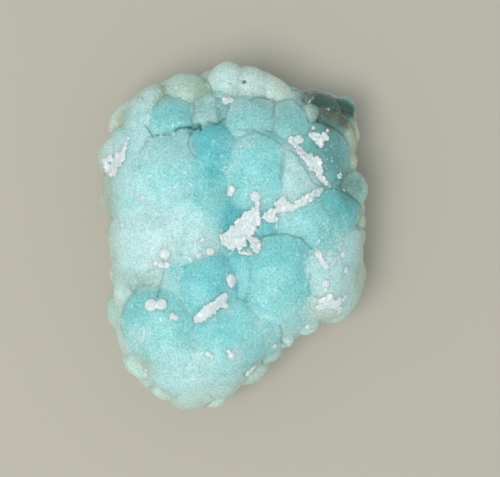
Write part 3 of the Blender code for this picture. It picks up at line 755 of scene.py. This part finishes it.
def addMath(tree, operation, first, second, clamp=False):
    node = addNode(tree, "ShaderNodeMath", operation=operation, use_clamp=clamp)
    for socket, value in zip(node.inputs, (first, second)):
        if isinstance(value, (int, float)):
            socket.default_value = value
        else:
            tree.links.new(value, socket)
    return node.outputs[0]


def addPlus(tree, first, second):
    return addMath(tree, "ADD", first, second)


def addMinus(tree, first, second, clamp=False):
    return addMath(tree, "SUBTRACT", first, second, clamp)


def addTimes(tree, first, second, clamp=False):
    return addMath(tree, "MULTIPLY", first, second, clamp)


def addMix(tree, amount, first, second):
    node = addNode(tree, "ShaderNodeMix", data_type="RGBA")
    sockets = (node.inputs["Factor"], node.inputs[6], node.inputs[7])
    for socket, value in zip(sockets, (amount, first, second)):
        if isinstance(value, (int, float)):
            socket.default_value = value
        elif isinstance(value, tuple):
            socket.default_value = (*value, 1)
        else:
            tree.links.new(value, socket)
    return node.outputs[2]


def addRamp(tree, amount, stops):
    node = addNode(tree, "ShaderNodeValToRGB")
    ramp = node.color_ramp
    while len(ramp.elements) < len(stops):
        ramp.elements.new(0.5)
    for element, (position, colour) in zip(ramp.elements, stops):
        element.position = position
        element.color = (*colour, 1)
    tree.links.new(amount, node.inputs["Fac"])
    return node.outputs["Color"]


def addAttribute(tree, name):
    return addNode(tree, "ShaderNodeAttribute", attribute_name=name).outputs["Fac"]


sugar = {
    "streakTurn": -20,       # the direction in which the flecks are long, and how much longer they are
    "streakSquash": 0.42,
    "streakLevel": 0.80,     # how high a streak has to be to show, and how crisp its edge is
    "streakContrast": 16.0,
    "facetGlintShare": 0.24,      # painted glints: how many single grains flash, and how crisply
    "facetGlintContrast": 60.0,
    "cellDepth": 0.8,        # how deep the gaps between grains are
}


def makeSugarGroup():       # sugary crystals for both materials: a height, a shade, and frost flecks with painted glints
    group = bpy.data.node_groups.new("sugarGrain", "ShaderNodeTree")
    sockets = (("Where", "INPUT", "NodeSocketVector"), ("Grain Scale", "INPUT", "NodeSocketFloat"),
               ("Fleck Scale", "INPUT", "NodeSocketFloat"), ("Fleck Share", "INPUT", "NodeSocketFloat"),
               ("Height", "OUTPUT", "NodeSocketFloat"), ("Shade", "OUTPUT", "NodeSocketFloat"),
               ("Fleck", "OUTPUT", "NodeSocketFloat"))
    for name, direction, kind in sockets:
        group.interface.new_socket(name=name, in_out=direction, socket_type=kind)
    start = addNode(group, "NodeGroupInput")
    end = addNode(group, "NodeGroupOutput")
    where = start.outputs["Where"]
    stretch = addNode(group, "ShaderNodeMapping")
    stretch.inputs["Rotation"].default_value = (0, 0, math.radians(sugar["streakTurn"]))
    stretch.inputs["Scale"].default_value = (1.0, sugar["streakSquash"], 1.0)
    group.links.new(where, stretch.inputs["Vector"])
    grain = addNoise(group, where, 1, 2, 0.7)
    streak = addNoise(group, stretch.outputs["Vector"], 1, 1, 0.5)
    cells = addNode(group, "ShaderNodeTexVoronoi")
    group.links.new(where, cells.inputs["Vector"])
    for node, scale in ((grain.node, "Grain Scale"), (cells, "Grain Scale"), (streak.node, "Fleck Scale")):
        group.links.new(start.outputs[scale], node.inputs["Scale"])
    chance = addNode(group, "ShaderNodeSeparateColor")
    group.links.new(cells.outputs["Color"], chance.inputs["Color"])
    shade = addPlus(group, addTimes(group, chance.outputs["Red"], 0.5), addTimes(group, grain, 0.5))
    share = start.outputs["Fleck Share"]
    level = addMinus(group, sugar["streakLevel"], share)
    fleckAndGlint = addTimes(group, addMinus(group, streak, level), sugar["streakContrast"], True)
    rare = addMinus(group, 1.0, addTimes(group, share, sugar["facetGlintShare"]))
    facetGlint = addTimes(group, addMinus(group, chance.outputs["Green"], rare), sugar["facetGlintContrast"], True)
    fleckAndGlint = addMath(group, "MAXIMUM", fleckAndGlint, facetGlint)
    height = addMinus(group, grain, addTimes(group, cells.outputs["Distance"], sugar["cellDepth"]))
    group.links.new(height, end.inputs["Height"])
    group.links.new(shade, end.inputs["Shade"])
    group.links.new(fleckAndGlint, end.inputs["Fleck"])
    return group


def addSugar(tree, group, where, grainScale, fleckScale, fleckShare):
    node = addNode(tree, "ShaderNodeGroup", node_tree=group)
    tree.links.new(where, node.inputs["Where"])
    node.inputs["Grain Scale"].default_value = grainScale
    node.inputs["Fleck Scale"].default_value = fleckScale
    if isinstance(fleckShare, float):
        node.inputs["Fleck Share"].default_value = fleckShare
    else:
        tree.links.new(fleckShare, node.inputs["Fleck Share"])
    return node.outputs["Height"], node.outputs["Shade"], node.outputs["Fleck"]


def addBump(tree, shader, height, strength, depth):
    bump = addNode(tree, "ShaderNodeBump")
    bump.inputs["Strength"].default_value = strength
    bump.inputs["Distance"].default_value = depth
    tree.links.new(height, bump.inputs["Height"])
    tree.links.new(bump.outputs["Normal"], shader.inputs["Normal"])


def setDepth(shader, look):     # how light goes on inside
    shader.inputs["Subsurface Weight"].default_value = look["depthAmount"]
    shader.inputs["Subsurface Radius"].default_value = look["depthColours"]
    shader.inputs["Subsurface Scale"].default_value = look["depthScale"]


stoneLooks = {
    "pale": (0.52, 0.79, 0.79),
    "aqua": (0.31, 0.71, 0.72),
    "turquoise": (0.19, 0.63, 0.66),
    "deep": (0.11, 0.53, 0.57),
    "cream": (0.62, 0.70, 0.53),
    "milk": (0.62, 0.81, 0.80),
    # near-black green: partly the darker green stone, partly painted shade
    "greenAndShade": (0.02, 0.075, 0.06),
    "olive": (0.42, 0.44, 0.22),
    "rust": (0.32, 0.16, 0.05),
    # dark teal for painted shade in the creases, seams and pits
    "creaseShadeTint": (0.05, 0.24, 0.24),
    # near white for frost flecks and painted glints, and the pale side of the borders
    "fleckAndGlint": (0.88, 0.96, 0.96),
    # pale yellow-green painted glow for the steep edges
    "edge": (0.66, 0.74, 0.58),
    "backPale": (0.46, 0.46, 0.36),
    "backRust": (0.28, 0.16, 0.06),
    "brightest": (0.92, 0.95, 0.95),     # no grain is brighter than this
    "steps": ((0.0, "pale"), (0.36, "aqua"), (0.70, "turquoise"), (1.0, "deep")),
    "cloudScale": 210,           # noise and grain scales, per metre
    "patchScale": 330,
    "borderScale": 260,
    "mottleScale": 800,
    "grainScale": 6200,
    "fleckScale": 1700,
    "fineScale": 3000,
    "glintScale": 3400,
    "cloudAmount": 0.50,         # how much each pattern or mark shifts the colour
    "mottleAmount": 0.34,
    "grainAmount": 0.16,
    "insideAmount": 0.12,
    "deepAmount": 0.4,
    "rimAmount": 0.8,
    "warmAmount": 0.75,
    "greenAndShadeAmount": 0.92,
    "milkAmount": 0.85,
    "creaseShadeAmount": 0.85,
    "patchyLow": 0.35,           # the marks are broken up between this and this much more
    "patchyRange": 0.9,
    "borderAmount": 0.36,        # how strongly the borders of the domes are drawn: painted shade on the dark side, a pale painted glow on the other
    "borderMiddle": 0.47,
    "borderContrast": 7.0,
    "shadeAmount": 0.80,         # how much brighter the brightest grains are than the darkest
    "fineShare": 0.14,           # how much of that the larger grains take
    "fleckAmount": 0.55,
    "glintAmount": 0.8,
    "fleckShare": 0.06,          # more for more frost flecks and painted glints
    "drusyShare": 0.06,
    "patchShare": 0.5,
    "edgeGlowAmount": 0.55,          # painted glow: how pale the stone is painted where it is steep, for light coming through its thin edges
    "edgeGlowPower": 3.0,
    "roughness": 0.50,
    "grainRoughness": 0.3,
    "fleckGloss": 0.2,
    "depthAmount": 0.85,         # light inside the stone, and how far it goes for each colour, in metres
    "depthColours": (0.7, 1.0, 1.0),
    "depthScale": 0.0034,
    "ior": 1.6,
    "specular": 0.35,
    "bumpStrength": 0.22,
    "bumpDepth": 0.00016,
}


def makeStoneMaterial(group):
    look = stoneLooks
    material, tree, shader = newMaterial("frostedTurquoise")
    where = addNode(tree, "ShaderNodeTexCoord").outputs["Object"]
    cloud = addNoise(tree, where, look["cloudScale"], 3)
    mottle = addNoise(tree, where, look["mottleScale"], 4)
    patch = addMinus(tree, addNoise(tree, where, look["patchScale"], 3), 0.5)
    share = addTimes(tree, addAttribute(tree, "drusy"), look["drusyShare"])
    share = addPlus(tree, share, look["fleckShare"])
    share = addPlus(tree, share, addTimes(tree, patch, look["patchShare"]))
    share = addMath(tree, "MAXIMUM", share, 0.0)
    grain, shade, fleckAndGlint = addSugar(tree, group, where, look["grainScale"], look["fleckScale"], share)
    fine, fineShade, glint = addSugar(tree, group, where, look["fineScale"], look["glintScale"], share)

    deep = addTimes(tree, addAttribute(tree, "deep"), look["deepAmount"])
    blue = addPlus(tree, addAttribute(tree, "blue"), deep)
    inside = addAttribute(tree, "inside")
    for part, amount in ((cloud, "cloudAmount"), (mottle, "mottleAmount"), (grain, "grainAmount"),
                         (fine, "grainAmount"), (inside, "insideAmount")):
        blue = addPlus(tree, blue, addTimes(tree, addMinus(tree, part, 0.5), look[amount]))
    colour = addRamp(tree, blue, [(place, look[name]) for place, name in look["steps"]])

    patchy = addPlus(tree, addTimes(tree, mottle, look["patchyRange"]), look["patchyLow"])
    rim = addTimes(tree, addAttribute(tree, "rim"), look["rimAmount"])
    warm = addMath(tree, "MAXIMUM", addAttribute(tree, "warm"), rim)
    warm = addTimes(tree, warm, look["warmAmount"])
    milk = addTimes(tree, addAttribute(tree, "milk"), look["milkAmount"])
    greenAndShade = addTimes(tree, addAttribute(tree, "greenAndShade"), look["greenAndShadeAmount"])
    olive = addAttribute(tree, "olive")
    colour = addMix(tree, addTimes(tree, warm, patchy, True), colour, look["cream"])
    colour = addMix(tree, addTimes(tree, olive, patchy, True), colour, look["olive"])
    # the green marks: partly darker green stone, partly painted shade
    colour = addMix(tree, greenAndShade, colour, look["greenAndShade"])
    colour = addMix(tree, addTimes(tree, milk, patchy, True), colour, look["milk"])

    # the borders of the domes: painted shade on one side and a pale painted glow on the other, chosen by
    # noise
    border = addAttribute(tree, "border")
    side = addMinus(tree, addNoise(tree, where, look["borderScale"], 2), look["borderMiddle"])
    side = addTimes(tree, side, look["borderContrast"])
    for part, tint in ((side, "creaseShadeTint"), (addTimes(tree, side, -1.0), "fleckAndGlint")):
        drawn = addTimes(tree, addTimes(tree, border, part, True), look["borderAmount"])
        colour = addMix(tree, drawn, colour, look[tint])
    # painted shade along the seams and in the pits
    crease = addTimes(tree, addAttribute(tree, "crease"), look["creaseShadeAmount"])
    rust = addTimes(tree, addAttribute(tree, "rust"), patchy, True)
    steep = addMath(tree, "POWER", addAttribute(tree, "steep"), look["edgeGlowPower"])
    # painted glints and frost flecks, mixed toward near white
    glow = addMath(tree, "MAXIMUM", fleckAndGlint, addTimes(tree, glint, look["glintAmount"]))
    colour = addMix(tree, crease, colour, look["creaseShadeTint"])
    colour = addMix(tree, rust, colour, look["rust"])
    # painted glow on the steep edges
    colour = addMix(tree, addTimes(tree, steep, look["edgeGlowAmount"], True), colour, look["edge"])
    colour = addMix(tree, addTimes(tree, glow, look["fleckAmount"]), colour, look["fleckAndGlint"])

    bright = addTimes(tree, shade, 1 - look["fineShare"])
    bright = addPlus(tree, bright, addTimes(tree, fineShade, look["fineShare"]))
    bright = addTimes(tree, bright, look["shadeAmount"])
    bright = addPlus(tree, bright, 1 - look["shadeAmount"] / 2)
    lit = addNode(tree, "ShaderNodeVectorMath", operation="SCALE")
    tree.links.new(colour, lit.inputs[0])
    tree.links.new(bright, lit.inputs["Scale"])
    most = addNode(tree, "ShaderNodeVectorMath", operation="MINIMUM")
    most.inputs[1].default_value = look["brightest"]
    tree.links.new(lit.outputs[0], most.inputs[0])
    stain = addMix(tree, addTimes(tree, mottle, cloud), look["backPale"], look["backRust"])
    colour = addMix(tree, addAttribute(tree, "back"), most.outputs[0], stain)
    tree.links.new(colour, shader.inputs["Base Color"])

    rough = addTimes(tree, grain, look["grainRoughness"])
    rough = addPlus(tree, rough, look["roughness"] - look["grainRoughness"] / 2)
    rough = addMinus(tree, rough, addTimes(tree, fleckAndGlint, look["fleckGloss"]))
    tree.links.new(rough, shader.inputs["Roughness"])
    setDepth(shader, look)
    shader.inputs["IOR"].default_value = look["ior"]
    shader.inputs["Specular IOR Level"].default_value = look["specular"]
    height = addPlus(tree, addTimes(tree, grain, 0.5), fine)
    height = addPlus(tree, height, addTimes(tree, fleckAndGlint, 0.4))
    addBump(tree, shader, height, look["bumpStrength"], look["bumpDepth"])
    return material


crustLooks = {
    "shade": (0.66, 0.78, 0.79),
    "white": (0.93, 0.95, 0.95),
    "glint": (0.97, 0.98, 0.98),
    "grainScale": 3200,          # scales per metre
    "fleckScale": 2400,
    "mottleScale": 1300,
    "fleckShare": 0.2,
    "grainAmount": 1.1,          # how much each pattern whitens the crust, and from where
    "mottleAmount": 0.9,
    "whiteLevel": 0.42,
    "shadeAmount": 0.12,
    "roughness": 0.5,
    "depthAmount": 0.25,
    "depthColours": (1.0, 1.0, 1.0),
    "depthScale": 0.0005,
    "bumpStrength": 0.15,
    "bumpDepth": 0.0001,
}


def makeCrustMaterial(group):
    look = crustLooks
    material, tree, shader = newMaterial("whiteGrains")
    where = addNode(tree, "ShaderNodeTexCoord").outputs["Object"]
    scales = (look["grainScale"], look["fleckScale"])
    grain, shade, fleckAndGlint = addSugar(tree, group, where, *scales, look["fleckShare"])
    mottle = addTimes(tree, addNoise(tree, where, look["mottleScale"], 2), look["mottleAmount"])
    amount = addPlus(tree, addTimes(tree, grain, look["grainAmount"]), mottle)
    amount = addMinus(tree, amount, look["whiteLevel"], True)
    colour = addMix(tree, amount, look["shade"], look["white"])
    colour = addMix(tree, addTimes(tree, shade, look["shadeAmount"]), colour, look["shade"])
    # painted glints on the crust
    colour = addMix(tree, fleckAndGlint, colour, look["glint"])
    tree.links.new(colour, shader.inputs["Base Color"])
    shader.inputs["Roughness"].default_value = look["roughness"]
    setDepth(shader, look)
    addBump(tree, shader, grain, look["bumpStrength"], look["bumpDepth"])
    return material


studio = {
    "floorColour": (0.53, 0.50, 0.43),
    "floorSize": 8.0,
    "skyColour": (0.93, 0.97, 1.0),
    "skyStrength": 0.53,
    "keyFrom": (-0.27, -0.22, 1.0),
    "keyDistance": 0.55,
    "keySize": 0.26,
    "keyPower": 1.59,
    "keyColour": (1.0, 0.98, 0.94),
    "floorRoughness": 0.9,
}


def makeFloor():
    bpy.ops.mesh.primitive_plane_add(size=studio["floorSize"], location=(0, 0, -0.00005))
    floor = bpy.context.object
    floor.name = "floor"
    material, tree, shader = newMaterial("paleFloor")
    shader.inputs["Base Color"].default_value = (*studio["floorColour"], 1)
    shader.inputs["Roughness"].default_value = studio["floorRoughness"]
    floor.data.materials.append(material)
    return floor


def makeLights():
    key = bpy.data.lights.new("key", "AREA")
    key.size = studio["keySize"]
    key.energy = studio["keyPower"]
    key.color = studio["keyColour"]
    lamp = bpy.data.objects.new("key", key)
    bpy.context.scene.collection.objects.link(lamp)
    toward = Vector(studio["keyFrom"]).normalized()
    lamp.location = toward * studio["keyDistance"] + Vector((0, 0, 0.01))
    lamp.rotation_euler = toward.to_track_quat("Z", "Y").to_euler()
    world = bpy.data.worlds.new("softStudio")
    world.use_nodes = True
    background = world.node_tree.nodes["Background"]
    background.inputs["Color"].default_value = (*studio["skyColour"], 1)
    background.inputs["Strength"].default_value = studio["skyStrength"]
    bpy.context.scene.world = world


view = {
    "centre": (2.43, -0.07),     # the point under the middle of the picture
    "width": 71.4,               # how much the picture shows across, at the height of the domes
    "height": 11.5,
    "lens": 90.0,
    "sensor": 36.0,
}


def makeCamera():
    camera = bpy.data.cameras.new("camera")
    camera.lens = view["lens"]
    camera.sensor_width = view["sensor"]
    obj = bpy.data.objects.new("camera", camera)
    bpy.context.scene.collection.objects.link(obj)
    away = view["width"] * view["lens"] / view["sensor"]
    obj.location = Vector((*view["centre"], view["height"] + away)) * mm
    camera.clip_start = 0.01
    bpy.context.scene.camera = obj
    bpy.context.scene.view_settings.view_transform = "Standard"


makeCamera()
makeLights()
makeFloor()
print("studio ready")

noise.seed_set(stone["noiseSeed"])
sugarGroup = makeSugarGroup()
stoneObj = makeStone()
stoneObj.data.materials.clear()
stoneObj.data.materials.append(makeStoneMaterial(sugarGroup))
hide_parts("smithsonite")
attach(stoneObj, "root")

crustObj = makeCrust(stoneObj)
crustObj.data.materials.clear()
crustObj.data.materials.append(makeCrustMaterial(sugarGroup))
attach(crustObj, "root")

print("done")
